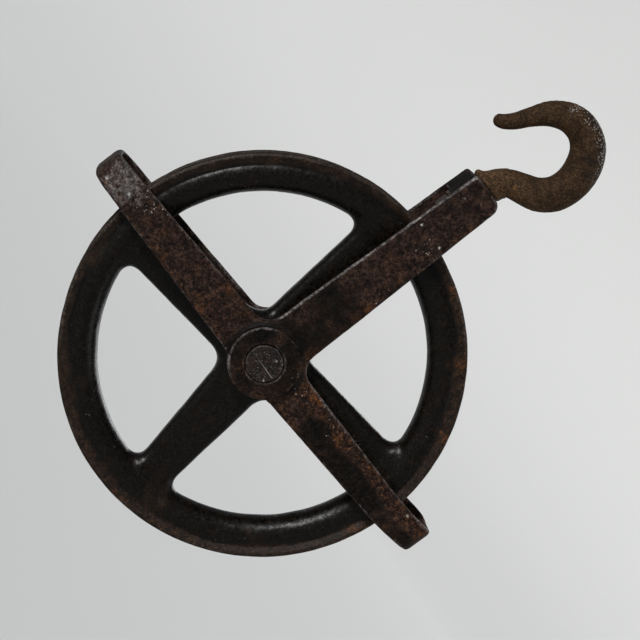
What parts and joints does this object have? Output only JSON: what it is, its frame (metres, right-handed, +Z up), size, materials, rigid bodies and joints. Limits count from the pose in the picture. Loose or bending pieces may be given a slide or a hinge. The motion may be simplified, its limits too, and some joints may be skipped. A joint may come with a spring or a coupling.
{
  "type": "well wheel pulley",
  "caption": "Cast-iron well wheel: a grooved spoked sheave on an axle pin, in a T-shaped frame with rope keepers, that swivels under an open hook.",
  "frame": {"origin": "load point: inside top of the hook's bowl, on the swivel axis; the part hangs from it as it works", "axes": "+Z up along the swivel axis towards the hook; +Y along the wheel's axle, towards the split-pin end, so -Y is the front with the axle's head; +X to the right seen from the front, away from the side the hook's tip points to"},
  "size_m": [0.37, 0.0827, 0.4551],
  "materials": {
    "sheave_iron": "worn glossy black japan over cast iron, rusty lips",
    "frame_iron": "rusted cast iron with remains of dark paint",
    "axle_steel": "dull rusted steel",
    "fastener_iron": "dull rusted steel",
    "hook_iron": "matt brown rust"
  },
  "bodies": {
    "hook": {"hook": "hook_iron", "swivel_washer": "fastener_iron", "shank_nut": "fastener_iron"},
    "frame": {"frame": "frame_iron", "axle_pin": "axle_steel", "axle_washer": "fastener_iron", "axle_split_pin": "fastener_iron"},
    "sheave": {"sheave": "sheave_iron"}
  },
  "joints": [
    {"name": "hook_swivel", "type": "hinge", "parent": "hook", "child": "frame", "pos_m": [0, 0, -0.07], "axis": [0, 0, 1], "continuous": true},
    {"name": "sheave_spin", "type": "hinge", "parent": "frame", "child": "sheave", "pos_m": [0, 0, -0.277], "axis": [0, 1, 0], "continuous": true}
  ]
}
